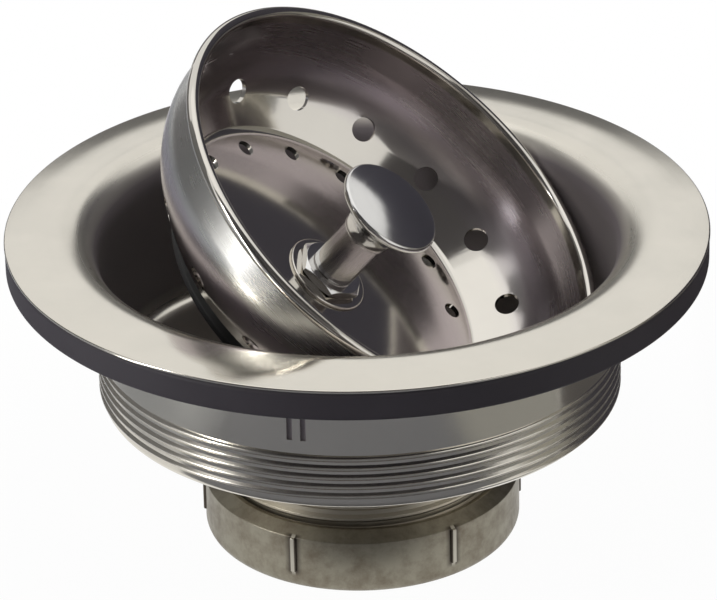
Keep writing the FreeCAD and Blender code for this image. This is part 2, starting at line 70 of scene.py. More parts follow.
def pick(piece, wanted):
    """Go into edit mode with only the vertices selected whose place in millimetres answers yes."""
    only(piece)
    mesh = piece.data
    mesh.polygons.foreach_set("select", [False] * len(mesh.polygons))
    mesh.edges.foreach_set("select", [False] * len(mesh.edges))
    mesh.vertices.foreach_set("select", [bool(wanted(vertex.co / MM)) for vertex in mesh.vertices])
    bpy.ops.object.mode_set(mode="EDIT")
    bpy.ops.mesh.select_mode(type="VERT")


def leave():
    bpy.ops.object.mode_set(mode="OBJECT")


def apply(piece, kind, **settings):
    """Add a modifier to a piece, set it and apply it."""
    only(piece)
    bpy.ops.object.modifier_add(type=kind)
    modifier = piece.modifiers[-1]
    for name, setting in settings.items():
        setattr(modifier, name, setting)
    bpy.ops.object.modifier_apply(modifier=modifier.name)


# %% [markdown]
# ## Turned pieces
#
# Most of a strainer is round: pressed, spun or turned on a lathe. Each such piece starts as one vertex,
# which is extruded from corner to corner until it draws half of the section. A corner that is round on
# the real piece is bevelled as a vertex, which gives a true arc, and the spin operator then turns the
# outline about its axis. A cylinder primitive could be pushed into shape instead, but an outline shows
# every wall and lip at once.

# %% Draw an outline and turn it
ARC_STEP = math.radians(5)
TURN_STEPS = 192
TURN_WELD = 1e-4
SAME_PLACE = 1e-3


def corner_cut(before, corner, after, radius):
    """How far from a corner its rounding starts, and by how much the outline bends there."""
    bend = (corner - before).angle(after - corner)
    return radius * math.tan(bend / 2), bend


def outline(name, corners):
    """A closed outline in the XZ plane through corners (radius, height) or (radius, height, rounding)."""
    places = [Vector((corner[0], 0, corner[1])) for corner in corners]
    bpy.ops.object.select_all(action="DESELECT")
    bpy.ops.mesh.primitive_plane_add(size=MM)
    piece = bpy.context.object
    piece.name = piece.data.name = name
    bpy.ops.object.mode_set(mode="EDIT")
    bpy.ops.mesh.select_mode(type="VERT")
    bpy.ops.mesh.merge(type="CENTER")
    bpy.ops.transform.translate(value=places[0] * MM)
    for here, there in zip(places, places[1:]):
        bpy.ops.mesh.extrude_region_move(TRANSFORM_OT_translate={"value": (there - here) * MM})
    bpy.ops.mesh.select_all(action="SELECT")
    bpy.ops.mesh.edge_face_add()
    bpy.ops.mesh.delete(type="ONLY_FACE")
    leave()
    for i, corner in enumerate(corners):
        if len(corner) == 3:
            after = places[(i + 1) % len(places)]
            start, bend = corner_cut(places[i - 1], places[i], after, corner[2])
            pick(piece, lambda place: (place - places[i]).length < SAME_PLACE)
            segments = max(2, round(bend / ARC_STEP))
            bpy.ops.mesh.bevel(offset=start * MM, segments=segments, affect="VERTICES")
            leave()
    return piece


def smooth(piece, angle=30):
    """Smooth shading that keeps real edges sharp, with flat faces left flat beside their roundings."""
    only(piece)
    bpy.ops.object.shade_smooth_by_angle(angle=math.radians(angle))
    apply(piece, "WEIGHTED_NORMAL", keep_sharp=True)


def turn(piece, steps=TURN_STEPS):
    """Spin an outline once round the Z axis and close the seam."""
    pick(piece, lambda place: True)
    bpy.ops.mesh.spin(steps=steps, angle=math.tau, center=(0, 0, 0), axis=(0, 0, 1))
    bpy.ops.mesh.select_all(action="SELECT")
    bpy.ops.mesh.remove_doubles(threshold=TURN_WELD * MM)
    bpy.ops.mesh.delete_loose()
    bpy.ops.mesh.select_all(action="SELECT")
    bpy.ops.mesh.normals_make_consistent(inside=False)
    leave()
    return piece


def turned(name, corners, steps=TURN_STEPS):
    """A piece turned from the corners of its outline, smoothed."""
    piece = turn(outline(name, corners), steps)
    smooth(piece)
    print(name, len(piece.data.polygons), "faces")
    return piece


# %% [markdown]
# ## Cutting holes and flats
#
# Holes are punched and flats are milled on the real pieces, so they are cut here too: cutters are
# primitives at their size and place, joined into one, and taken away by a Boolean modifier. The same
# modifier can add a shape, or keep only what two shapes share.

# %% Cut with primitives
CUT_WELD = 2e-4


def join(pieces, name):
    bpy.ops.object.select_all(action="DESELECT")
    for piece in pieces:
        piece.select_set(True)
    bpy.context.view_layer.objects.active = pieces[0]
    bpy.ops.object.join()
    pieces[0].name = name
    return pieces[0]


def boolean(piece, tools, operation="DIFFERENCE"):
    """Take tools away from a piece, or add or share them, and weld what the modifier leaves."""
    tool = join(tools, piece.name + "_tool")
    apply(piece, "BOOLEAN", operation=operation, solver="EXACT", object=tool)
    bpy.data.objects.remove(tool)
    pick(piece, lambda place: True)
    bpy.ops.mesh.remove_doubles(threshold=CUT_WELD * MM)
    leave()


def round_cutter(radius, depth, matrix, sides=48):
    """A cylinder to cut with, along the Z axis of a matrix whose place is in millimetres."""
    bpy.ops.object.select_all(action="DESELECT")
    bpy.ops.mesh.primitive_cylinder_add(vertices=sides, radius=radius * MM, depth=depth * MM)
    tool = bpy.context.object
    move(tool, matrix)
    return tool


def block(size, matrix):
    """A block of a size in millimetres, where a matrix says."""
    bpy.ops.object.select_all(action="DESELECT")
    bpy.ops.mesh.primitive_cube_add(size=MM)
    tool = bpy.context.object
    move(tool, matrix @ Matrix.Diagonal((*size, 1)))
    return tool


def move(piece, matrix):
    """Put a piece where a matrix in millimetres says, and keep that place in its mesh."""
    piece.matrix_world = Matrix.Scale(MM, 4) @ matrix @ Matrix.Scale(1 / MM, 4)
    only(piece)
    bpy.ops.object.transform_apply(location=True, rotation=True, scale=True)


def about_z(angle):
    return Matrix.Rotation(math.radians(angle), 4, "Z")


# %% [markdown]
# ## The strainer body
#
# The body is one sheet of stainless steel, drawn in steps: a flat flange, a bell mouth, a straight bowl
# whose outside carries the thread, a floor that slopes to the outlet, and a short collar. Its section is
# drawn once and turned. Two upright notches, side by side under the gasket, are cut with blocks.

# %% Body
SHEET = 0.9
BOWL_RADIUS = 42.0
BOWL_FLOOR_ROUND = 3.0
MOUTH_ROUND = 5.8
THREAD_DEPTH = 0.45
THREAD_LENGTH = 9.8
SHELL_FOOT_ROUND = 1.2
LAND_RADIUS = 28.0
LAND_DROP = 1.8
LAND_ROUND = 20.0
COLLAR_RADIUS = 18.5
COLLAR_ROUND = 1.6
FLANGE_UNDER_ROUND = 0.15
FLANGE_EDGE_ROUND = 0.25
FLANGE_CROWN = 0.4
FLANGE_SLOPE = 4.5
FLANGE_SLOPE_ROUND = 40.0
NOTCH_SIZE = (0.8, 0.9, 13.8)
NOTCH_SPACING = 2.2
NOTCH_ANGLE = -103.7
NOTCH_DROP = 11.4

body_low, body_high = (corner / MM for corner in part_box("strainer_body"))
gasket_low, gasket_high = (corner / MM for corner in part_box("flange_gasket"))
flange_radius, flange_top, collar_end = body_high.x, body_high.z, body_low.z
flange_under = flange_top - SHEET
shell_radius = BOWL_RADIUS + SHEET
thread_root = shell_radius - THREAD_DEPTH
land_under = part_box("outlet_neck")[1].z / MM
shell_bottom = land_under + LAND_DROP
thread_top = shell_bottom + THREAD_LENGTH

strainer_body = turned("strainer_body_sheet", [
    (flange_radius, flange_under, FLANGE_UNDER_ROUND),
    (flange_radius, flange_top - FLANGE_CROWN, FLANGE_EDGE_ROUND),
    (flange_radius - FLANGE_SLOPE, flange_top, FLANGE_SLOPE_ROUND),
    (BOWL_RADIUS, flange_top, MOUTH_ROUND),
    (BOWL_RADIUS, shell_bottom + SHEET, BOWL_FLOOR_ROUND),
    (LAND_RADIUS, land_under + SHEET, LAND_ROUND),
    (COLLAR_RADIUS, land_under + SHEET, COLLAR_ROUND),
    (COLLAR_RADIUS, collar_end),
    (COLLAR_RADIUS + SHEET, collar_end),
    (COLLAR_RADIUS + SHEET, land_under),
    (LAND_RADIUS, land_under),
    (thread_root, shell_bottom, SHELL_FOOT_ROUND),
    (thread_root, thread_top - THREAD_DEPTH),
    (shell_radius, thread_top),
    (shell_radius, flange_under, MOUTH_ROUND - SHEET),
], steps=256)
notch_middle = gasket_low.z - NOTCH_DROP + NOTCH_SIZE[2] / 2
notches = []
for side in (-1, 1):
    place = about_z(NOTCH_ANGLE) @ Matrix.Translation((shell_radius, side * NOTCH_SPACING / 2, notch_middle))
    notches.append(block(NOTCH_SIZE, place))
boolean(strainer_body, notches)
smooth(strainer_body)
print("body with notches", len(strainer_body.data.polygons), "faces")

# %% [markdown]
# ## Threads
#
# The rolled thread on the shell and the cut thread on the neck are ridges that climb round a cylinder. A
# Screw modifier makes one from the section of the ridge: it turns and lifts it at the same time. Each end
# of a real thread runs out into the wall, so the ridge sinks there, little by little.


# %% Make a thread
def thread(name, section, pitch, turns, start_angle, run_out, sink, steps=160):
    """A right-hand ridge from its section (radius, height), sunk at both ends over run_out degrees."""
    ridge = outline(name, section)
    apply(ridge, "SCREW", axis="Z", angle=math.tau, screw_offset=pitch * MM, iterations=turns, steps=steps,
          render_steps=steps, use_merge_vertices=False, use_normal_calculate=True)
    pick(ridge, lambda place: True)
    bpy.ops.mesh.select_mode(type="EDGE")
    bpy.ops.mesh.select_all(action="DESELECT")
    bpy.ops.mesh.select_non_manifold(extend=False)
    bpy.ops.mesh.edge_face_add()
    bpy.ops.mesh.select_all(action="SELECT")
    bpy.ops.mesh.normals_make_consistent(inside=False)
    leave()
    corners = len(ridge.data.vertices) // (turns * steps + 1)
    for vertex in ridge.data.vertices:
        along = vertex.index // corners * 360 / steps
        to_end = min(along, turns * 360 - along)
        low = sink * MM * (1 - min(1, to_end / run_out)) ** 2
        out = Vector((vertex.co.x, vertex.co.y, 0))
        vertex.co -= out.normalized() * low
    move(ridge, about_z(start_angle))
    smooth(ridge, angle=50)
    print(name, len(ridge.data.polygons), "faces")
    return ridge


# %% Shell thread
SHELL_PITCH = 1.65
SHELL_TURNS = 6
SHELL_THREAD_END = 22
SHELL_FIRST_CREST = 0.8
SHELL_RIDGE_FOOT = 0.7
SHELL_RIDGE_SHOULDER = 0.2
SHELL_SHOULDER_DROP = 0.1
SHELL_SHOULDER_ROUND = 0.2
SHELL_CREST_ROUND = 0.25
RIDGE_BURIED = 0.12

shell_crest = shell_bottom + SHELL_FIRST_CREST
shell_thread = thread("shell_thread", [
    (thread_root - RIDGE_BURIED, shell_crest - SHELL_RIDGE_FOOT),
    (shell_radius - SHELL_SHOULDER_DROP, shell_crest - SHELL_RIDGE_SHOULDER, SHELL_SHOULDER_ROUND),
    (shell_radius, shell_crest, SHELL_CREST_ROUND),
    (shell_radius - SHELL_SHOULDER_DROP, shell_crest + SHELL_RIDGE_SHOULDER, SHELL_SHOULDER_ROUND),
    (thread_root - RIDGE_BURIED, shell_crest + SHELL_RIDGE_FOOT),
], SHELL_PITCH, SHELL_TURNS, start_angle=-90 + SHELL_THREAD_END, run_out=30, sink=THREAD_DEPTH + 0.05)

# %% [markdown]
# ## The outlet neck
#
# Under the body hangs a turned neck with a thread for the coupling nut. It is the same job again: an
# outline, a turn, and a ridge that climbs round it at eleven and a half turns to the inch.

# %% Neck
NECK_ROOT = 22.9
NECK_RADIUS = 23.4
NECK_BORE = 17.6
NECK_SOCKET = 19.45
NECK_CHAMFER = 0.6
NECK_FLANGE = 2.2
NECK_FLANGE_ROUND = 0.6
NECK_PLAIN = 2.0
NECK_PITCH = 25.4 / 11.5
NECK_TURNS = 4
NECK_FIRST_CREST = 0.95
NECK_RIDGE_FOOT = 0.85
NECK_RIDGE_CREST = 0.2
NECK_RIDGE_PLAY = 0.05
NECK_RIDGE_ROUND = 0.12
neck_low, neck_high = (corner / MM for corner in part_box("outlet_neck"))
spider_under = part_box("outlet_spider")[0].z / MM
neck_flange_radius = neck_high.x
neck_flange_under = neck_high.z - NECK_FLANGE
neck_thread_top = neck_flange_under - NECK_PLAIN

outlet_neck = turned("outlet_neck_turned", [
    (NECK_BORE, neck_low.z, 0.3),
    (NECK_ROOT - NECK_CHAMFER, neck_low.z),
    (NECK_ROOT, neck_low.z + NECK_CHAMFER),
    (NECK_ROOT, neck_thread_top - (NECK_RADIUS - NECK_ROOT)),
    (NECK_RADIUS, neck_thread_top),
    (NECK_RADIUS, neck_flange_under, NECK_FLANGE_ROUND),
    (neck_flange_radius, neck_flange_under, NECK_FLANGE_ROUND),
    (neck_flange_radius, neck_high.z),
    (NECK_SOCKET, neck_high.z),
    (NECK_SOCKET, spider_under),
    (NECK_BORE, spider_under),
])
neck_crest = neck_low.z + NECK_FIRST_CREST
neck_thread = thread("neck_thread", [
    (NECK_ROOT - RIDGE_BURIED, neck_crest - NECK_RIDGE_FOOT),
    (NECK_RADIUS - NECK_RIDGE_PLAY, neck_crest - NECK_RIDGE_CREST, NECK_RIDGE_ROUND),
    (NECK_RADIUS - NECK_RIDGE_PLAY, neck_crest + NECK_RIDGE_CREST, NECK_RIDGE_ROUND),
    (NECK_ROOT - RIDGE_BURIED, neck_crest + NECK_RIDGE_FOOT),
], NECK_PITCH, NECK_TURNS, start_angle=40, run_out=40, sink=0.55)

# %% [markdown]
# ## The gasket
#
# The rubber ring under the flange has soft edges, and its inside follows the bell mouth.

# %% Gasket
GASKET_ROUND = 0.7
GASKET_PLAY = 0.15
gasket_radius = gasket_high.x
gasket_mouth = shell_radius + MOUTH_ROUND - SHEET + GASKET_PLAY
flange_gasket = turned("flange_gasket_ring", [
    (shell_radius + GASKET_PLAY, gasket_low.z, 0.2),
    (gasket_radius, gasket_low.z, GASKET_ROUND),
    (gasket_radius, gasket_high.z, GASKET_ROUND),
    (gasket_mouth, gasket_high.z),
], steps=256)

# %% [markdown]
# ## The coupling nut
#
# The nut is turned: a rounded foot, a straight side, a chamfered shoulder and a lip inside for the
# tailpiece. Six slim ribs stand on its side for the hand. One rib is a block with its edges broken by a
# Bevel modifier, because an edge with no width catches no light, and the other five are copies of it. A
# Boolean union then makes ribs and ring one piece.

# %% Coupling nut
NUT_BORE = 23.5
NUT_LIP = 2.2
NUT_LIP_ROUND = 0.3
TAIL_HOLE = 19.8
NUT_RADIUS = 26.1
NUT_FOOT_ROUND = 1.9
NUT_CHAMFER_HEIGHT = 1.6
NUT_CHAMFER_WIDTH = 2.0
NUT_RIB_ROUND = 0.25
NUT_RIB_HEIGHT = 0.4
NUT_RIB_WIDTH = 1.1
NUT_RIB_FOOT = 3.2
NUT_RIB_ANGLE = 4.0
NUT_RIB_COUNT = 6
nut_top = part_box("coupling_nut")[1].z / MM
nut_shoulder = nut_top - NUT_CHAMFER_HEIGHT

coupling_nut = turn(outline("coupling_nut_ribbed", [
    (TAIL_HOLE, 0, NUT_LIP_ROUND),
    (NUT_RADIUS, 0, NUT_FOOT_ROUND),
    (NUT_RADIUS, nut_shoulder, 0.25),
    (NUT_RADIUS - NUT_CHAMFER_WIDTH, nut_top, 0.4),
    (NUT_BORE, nut_top),
    (NUT_BORE, NUT_LIP),
    (TAIL_HOLE, NUT_LIP, NUT_LIP_ROUND),
]))
rib_size = (2 * NUT_RIB_HEIGHT, NUT_RIB_WIDTH, nut_shoulder - NUT_RIB_FOOT)
rib_place = Matrix.Translation((NUT_RADIUS, 0, (nut_shoulder + NUT_RIB_FOOT) / 2))
first_rib = block(rib_size, about_z(NUT_RIB_ANGLE) @ rib_place)
apply(first_rib, "BEVEL", width=NUT_RIB_ROUND * MM, segments=3)
ribs = [first_rib]
for step in range(1, NUT_RIB_COUNT):
    rib = first_rib.copy()
    rib.data = first_rib.data.copy()
    bpy.context.collection.objects.link(rib)
    move(rib, about_z(step * 360 / NUT_RIB_COUNT))
    ribs.append(rib)
boolean(coupling_nut, ribs, "UNION")
smooth(coupling_nut, angle=35)
print("coupling nut", len(coupling_nut.data.polygons), "faces")

# %% [markdown]
# ## Where the basket leans
#
# The basket lies askew in the bowl, so its pieces are modelled upright about their own axis and then
# leaned. The lean is two angles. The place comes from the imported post: seen along its axis, the middle of
# its points is on the axis, and its lowest point is the end of the shank.

# %% Basket frame
LEAN_ANGLE = 39.2
LEAN_DIRECTION = -21.35
SHANK_END = 5.4

lean_turn = about_z(LEAN_DIRECTION) @ Matrix.Rotation(math.radians(LEAN_ANGLE), 4, "Y")
upright = [lean_turn.inverted() @ (vertex.co / MM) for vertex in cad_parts["basket_post"].data.vertices]
middle_x, middle_y = (
    (min(place[axis] for place in upright) + max(place[axis] for place in upright)) / 2 for axis in (0, 1))
lowest = min(place.z for place in upright)
lean = lean_turn @ Matrix.Translation((middle_x, middle_y, lowest - SHANK_END))
print("basket origin in mm", tuple(lean.translation))

# %% [markdown]
# ## The basket cup
#
# The cup is drawn from polished sheet: a flat floor, a cone, a straight wall and a rim that is curled
# outwards. The bends are wide, so that the sheet flows from one into the next. Two rings of holes are
# punched through it, small ones in the floor and large ones square to the cone.

# %% Cup
CUP_UNDER = 13.8
CUP_SHEET = 0.8
CUP_WALL = 39.1
CUP_CONE_WIDTH = 8.9
CUP_CONE_ANGLE = 45.0
RIM_RADIUS = 40.3
RIM_TOP = 35.0
RIM_HEIGHT = 2.0
RIM_ROUND = 0.95
WALL_ROUND = 15.0
FLOOR_ROUND = 3.0
SHANK_BORE = 2.5
SIDE_HOLE_RADIUS = 2.05
SIDE_HOLE_INSET = 3.9
FLOOR_HOLE_RADIUS = 1.45
FLOOR_HOLE_INSET = 3.8
HOLE_COUNT = 16
HOLE_ANGLE = 19.0

cup_floor = CUP_UNDER + CUP_SHEET
cup_floor_radius = CUP_WALL - CUP_CONE_WIDTH
cone = math.radians(CUP_CONE_ANGLE)
cone_top = CUP_UNDER + CUP_CONE_WIDTH * math.tan(cone)
cone_inner_top = cone_top + CUP_SHEET * math.tan((math.pi / 2 - cone) / 2)
cone_inner_floor = cup_floor_radius - CUP_SHEET * math.tan(cone / 2)
basket_cup = turned("basket_cup_drawn", [
    (SHANK_BORE, CUP_UNDER),
    (cup_floor_radius, CUP_UNDER, FLOOR_ROUND),
    (CUP_WALL, cone_top, WALL_ROUND),
    (CUP_WALL, RIM_TOP - RIM_HEIGHT, 0.4),
    (RIM_RADIUS, RIM_TOP - RIM_HEIGHT, RIM_ROUND),
    (RIM_RADIUS, RIM_TOP, RIM_ROUND),
    (CUP_WALL - CUP_SHEET, RIM_TOP, RIM_ROUND),
    (CUP_WALL - CUP_SHEET, cone_inner_top, WALL_ROUND - CUP_SHEET),
    (cone_inner_floor, cup_floor, FLOOR_ROUND - CUP_SHEET),
    (SHANK_BORE, cup_floor),
], steps=256)

# %% Punch the holes
side_ring = CUP_WALL - SIDE_HOLE_INSET
side_height = CUP_UNDER + (side_ring - cup_floor_radius) * math.tan(cone)
punch_length = 6 * CUP_SHEET
slant = Matrix.Translation((side_ring, 0, side_height)) @ Matrix.Rotation(-cone, 4, "Y")
flat = Matrix.Translation((cup_floor_radius - FLOOR_HOLE_INSET, 0, cup_floor))
punches = []
for hole in range(HOLE_COUNT):
    spoke = about_z(HOLE_ANGLE + hole * 360 / HOLE_COUNT)
    punches.append(round_cutter(SIDE_HOLE_RADIUS, punch_length, spoke @ slant))
    punches.append(round_cutter(FLOOR_HOLE_RADIUS, punch_length, spoke @ flat))
boolean(basket_cup, punches)
smooth(basket_cup, angle=40)
move(basket_cup, lean)
print("cup with holes", len(basket_cup.data.polygons), "faces")

# %% [markdown]
# ## Post, knob, washer and nuts
#
# A turned post stands in the middle of the cup. Its shoulder presses a nut and a washer on the floor, its
# thin shank goes down through the stopper, and a flared knob with a domed top is pressed on the pin at
# its upper end. All of them are outlines turned about the basket's axis and leaned with it.

# %% Post, knob and washer
POST_RADIUS = 3.8
SHANK_RADIUS = 2.4
SHANK_CHAMFER = 0.5
POST_WASHER_RADIUS = 7.2
POST_WASHER = 0.5
POST_NUT_HEIGHT = 1.5
POST_PIN_RADIUS = 2.2
POST_PIN_LENGTH = 2.0
POST_PIN_PLAY = 0.05
KNOB_RADIUS = 8.9
KNOB_CROWN = math.radians(17)
KNOB_HEIGHT = 8.6
KNOB_DROP = 0.7
KNOB_NECK = 4.2
KNOB_NECK_HEIGHT = 2.6
KNOB_FLARE_ROUND = 5.0
KNOB_EDGE = 0.9
KNOB_CROWN_SHARE = 0.9
knob_top = RIM_TOP - KNOB_DROP
knob_under = knob_top - KNOB_HEIGHT
post_nut_under = cup_floor + POST_WASHER
post_shoulder = post_nut_under + POST_NUT_HEIGHT

basket_post = turned("basket_post_turned", [
    (0, SHANK_END),
    (SHANK_RADIUS - SHANK_CHAMFER, SHANK_END),
    (SHANK_RADIUS, SHANK_END + SHANK_CHAMFER),
    (SHANK_RADIUS, post_shoulder),
    (POST_RADIUS, post_shoulder, 0.3),
    (POST_RADIUS, knob_under, 0.2),
    (POST_PIN_RADIUS, knob_under),
    (POST_PIN_RADIUS, knob_under + POST_PIN_LENGTH),
    (0, knob_under + POST_PIN_LENGTH),
], steps=64)
pin_hole = POST_PIN_RADIUS + POST_PIN_PLAY
pin_hole_top = knob_under + POST_PIN_LENGTH + POST_PIN_PLAY
crown_middle = KNOB_RADIUS / (1 + math.cos(KNOB_CROWN))
crown_round = KNOB_CROWN_SHARE * crown_middle / math.tan(KNOB_CROWN / 2)
knob_edge = knob_top - (KNOB_RADIUS - crown_middle) * math.tan(KNOB_CROWN)
pull_knob = turned("pull_knob_flared", [
    (pin_hole, knob_under),
    (KNOB_NECK, knob_under, 0.3),
    (KNOB_NECK, knob_under + KNOB_NECK_HEIGHT, KNOB_FLARE_ROUND),
    (KNOB_RADIUS, knob_edge - KNOB_EDGE, 0.5),
    (KNOB_RADIUS, knob_edge, 0.6),
    (crown_middle, knob_top, crown_round),
    (0, knob_top),
    (0, pin_hole_top),
    (pin_hole, pin_hole_top),
], steps=96)
post_washer = turned("post_washer_disc", [
    (SHANK_BORE, cup_floor),
    (POST_WASHER_RADIUS, cup_floor),
    (POST_WASHER_RADIUS, post_nut_under, 0.3),
    (SHANK_BORE, post_nut_under),
], steps=96)

# %% Small nuts
POST_NUT_FLAT = 5.2
POST_NUT_ANGLE = 25
END_NUT_FLAT = 3.5
END_NUT_HEIGHT = 2.8
CLIP_PLATE = 9.0
CORNER_SPARE = 0.05
EDGE_BREAK = 0.12
SHARP_ANGLE = math.radians(25)
HEXAGON_HALF = math.radians(30)
CHAMFER_ANGLE = math.radians(30)


def small_nut(name, distance, under, height, angle=0, chamfer=0.5):
    """A hexagon nut, its flats at a distance from the axis, with corners turned off at thirty degrees."""
    hexagon = distance / math.cos(HEXAGON_HALF)
    corner = hexagon + CORNER_SPARE
    face = corner - chamfer / math.tan(CHAMFER_ANGLE)
    nut = turn(outline(name, [
        (SHANK_BORE, under),
        (face, under),
        (corner, under + chamfer),
        (corner, under + height - chamfer),
        (face, under + height),
        (SHANK_BORE, under + height),
    ]), steps=96)
    middle = Matrix.Translation((0, 0, under + height / 2)) @ about_z(angle)
    boolean(nut, [round_cutter(hexagon, 2 * height, middle, sides=6)], "INTERSECT")
    apply(nut, "BEVEL", width=EDGE_BREAK * MM, segments=2, limit_method="ANGLE", angle_limit=SHARP_ANGLE)
    smooth(nut, angle=40)
    print(name, len(nut.data.polygons), "faces")
    return nut


post_nut = small_nut("post_nut_hexagon", POST_NUT_FLAT, post_nut_under, POST_NUT_HEIGHT, POST_NUT_ANGLE)
end_nut = small_nut("end_nut_hexagon", END_NUT_FLAT, CLIP_PLATE - END_NUT_HEIGHT, END_NUT_HEIGHT)

# %% [markdown]
# ## The stopper under the cup
#
# A rubber disc with a drooping lip closes the outlet when the basket is pushed home, and a steel plate
# clamps it. They hide behind the cup in most views, but show when the basket is lifted.

# %% Stopper seal and retainer
SEAL_UNDER = 10.8
SEAL_RADIUS = 27.0
SEAL_LIP_UNDER = 9.1
SEAL_LIP_WIDTH = 1.5
SEAL_LIP_HEIGHT = 1.2
SEAL_SLOPE = 3.0
SEAL_MARGIN = 1.2
RETAINER_RADIUS = 13.0
RETAINER_PLATE = 1.0
stopper_seal = turned("stopper_seal_disc", [
    (SHANK_BORE, SEAL_UNDER),
    (RETAINER_RADIUS + SEAL_MARGIN, SEAL_UNDER, 0.5),
    (SEAL_RADIUS - SEAL_LIP_WIDTH, SEAL_LIP_UNDER, 0.3),
    (SEAL_RADIUS, SEAL_LIP_UNDER, 0.5),
    (SEAL_RADIUS, SEAL_LIP_UNDER + SEAL_LIP_HEIGHT, 0.4),
    (SEAL_RADIUS - SEAL_SLOPE, CUP_UNDER, 0.4),
    (SHANK_BORE, CUP_UNDER),
])
seal_retainer = turned("seal_retainer_plate", [
    (SHANK_BORE, SEAL_UNDER - RETAINER_PLATE),
    (RETAINER_RADIUS, SEAL_UNDER - RETAINER_PLATE, 0.3),
    (RETAINER_RADIUS, SEAL_UNDER),
    (SHANK_BORE, SEAL_UNDER),
], steps=128)
for piece in (basket_post, pull_knob, post_washer, post_nut, end_nut, stopper_seal, seal_retainer):
    move(piece, lean)

# %% [markdown]
# ## Shader sums in plain Python
#
# A finish is a small sum of textures. One class wraps the output of a node, so that adding or multiplying
# two of them adds a Math node to the material. Any other node comes from its one method, which takes the
# node's type, its settings and what goes into its sockets. After it come the parts that several finishes
# share: patterns from noise, fine rings about an axis, and masks that go from nought to one between two
# places.


# %% Wire class
class Wire:
    """One output of a node, which can be used in sums."""

    def __init__(self, tree, socket=None):
        self.tree = tree
        self.socket = socket

    def node(self, kind, settings, sockets, output=0):
        """Add a node: its settings first, then the values or wires of its sockets."""
        added = self.tree.nodes.new(kind)
        for name, setting in settings.items():
            setattr(added, name, setting)
        for name, value in sockets.items():
            self.feed(added.inputs[name], value)
        return Wire(self.tree, added.outputs[output])

    def feed(self, socket, value):
        if isinstance(value, Wire):
            self.tree.links.new(value.socket, socket)
        else:
            socket.default_value = value

    def sum(self, operation, first, second):
        return self.node("ShaderNodeMath", {"operation": operation}, {0: first, 1: second})

    def __add__(self, other):
        return self.sum("ADD", self, other)

    def __sub__(self, other):
        return self.sum("SUBTRACT", self, other)

    def __rsub__(self, other):
        return self.sum("SUBTRACT", other, self)

    def __mul__(self, other):
        return self.sum("MULTIPLY", self, other)

    def __truediv__(self, other):
        return self.sum("DIVIDE", self, other)

    def __pow__(self, other):
        return self.sum("POWER", self, other)

    __radd__ = __add__
    __rmul__ = __mul__


# %% Parts that several finishes share
def new_finish(name):
    """A material with a Principled shader: returns it, its shader and a wire with the place on the piece."""
    material = bpy.data.materials.new(name)
    material.use_nodes = True
    shader = material.node_tree.nodes["Principled BSDF"]
    place = Wire(material.node_tree).node("ShaderNodeTexCoord", {}, {}, "Object")
    return material, shader, place


def upright_place(place, matrix):
    """The place in the frame of a leaning piece, so that a pattern turns about the piece's own axis."""
    spot = matrix.translation * MM
    sockets = {"Vector": place, "Location": spot, "Rotation": matrix.to_euler()}
    return place.node("ShaderNodeMapping", {"vector_type": "TEXTURE"}, sockets)


def noise(place, scale, detail=2.0, roughness=0.5):
    sockets = {"Vector": place, "Scale": scale, "Detail": detail, "Roughness": roughness}
    return place.node("ShaderNodeTexNoise", {}, sockets, "Fac")


def blend(place, factor, first, second):
    """Mix two colours, each a triple or a wire."""
    sockets = {0: factor}
    for socket, colour in ((6, first), (7, second)):
        sockets[socket] = colour if isinstance(colour, Wire) else (*colour, 1)
    return place.node("ShaderNodeMix", {"data_type": "RGBA"}, sockets, 2)


def radius_and_height(place):
    """Two wires: how far a place is from the Z axis, and how high."""
    flat = place.node("ShaderNodeVectorMath", {"operation": "MULTIPLY"}, {0: place, 1: (1, 1, 0)})
    radius = place.node("ShaderNodeVectorMath", {"operation": "LENGTH"}, {0: flat}, "Value")
    return radius, place.node("ShaderNodeSeparateXYZ", {}, {0: place}, "Z")


def turning_marks(place, scale):
    """Fine rings about the Z axis, as a lathe or a polishing wheel leaves them."""
    radius, height = radius_and_height(place)
    section = place.node("ShaderNodeCombineXYZ", {}, {"X": radius, "Z": height})
    return noise(section, scale, detail=4.0, roughness=0.7)


def between(place, value, start, end):
    """A wire that goes from nought at the start to one at the end."""
    return place.node("ShaderNodeClamp", {}, {"Value": (value - start) / (end - start)})


def shaded_bowl_wall(place):
    """Painted shade mask: one on the bowl's wall and notches, nought on the flange, the shell and the floor.
    """
    # The edge of the mask lies inside the sheet. Above the thread it lies deeper, as the notches do, and at
    # the mouth it follows the bell outwards.
    radius, height = radius_and_height(place)
    rise = place.sum("MAXIMUM", height - (flange_top - MOUTH_ROUND) * MM, 0)
    above_thread = between(place, height, (thread_top + 0.5) * MM, (thread_top + 0.6) * MM)
    edge = (BOWL_RADIUS + 0.2) * MM + 0.55 * MM * above_thread + 0.35 * rise
    inside = place.node("ShaderNodeClamp", {}, {"Value": (edge - radius) / (0.1 * MM + 0.35 * rise)})
    return inside * between(place, height, (shell_bottom + 1.2) * MM, (shell_bottom + 4) * MM)


def bump(place, height, distance, strength=1.0):
    """A wire for Normal, from a height wire and a depth in millimetres."""
    sockets = {"Height": height, "Distance": distance * MM, "Strength": strength}
    return place.node("ShaderNodeBump", {}, sockets, "Normal")


# %% [markdown]
# ## Stainless steel
#
# The body has a satin finish with rings from polishing, warm grey, a little duller where hands and water
# have been. The basket is brighter, and both mirror what is round them. Shade is painted into the walls
# of the bowl and the cup: their colour is darker, the cup's most of all inside, and the bowl is hardly a
# mirror at all. A mask from the radius and the height of a place says where those walls are.

# %% Steel finishes
# The bowl's colour is painted shade on its wall and in the notches.
BOWL_SHADE_COLOUR = (0.25, 0.222, 0.232)
# The cup wall's colours are painted shade, darker inside the cup than outside.
CUP_WALL_SHADE_INSIDE = (0.51, 0.46, 0.485)
CUP_WALL_SHADE_OUTSIDE = (0.57, 0.56, 0.53)


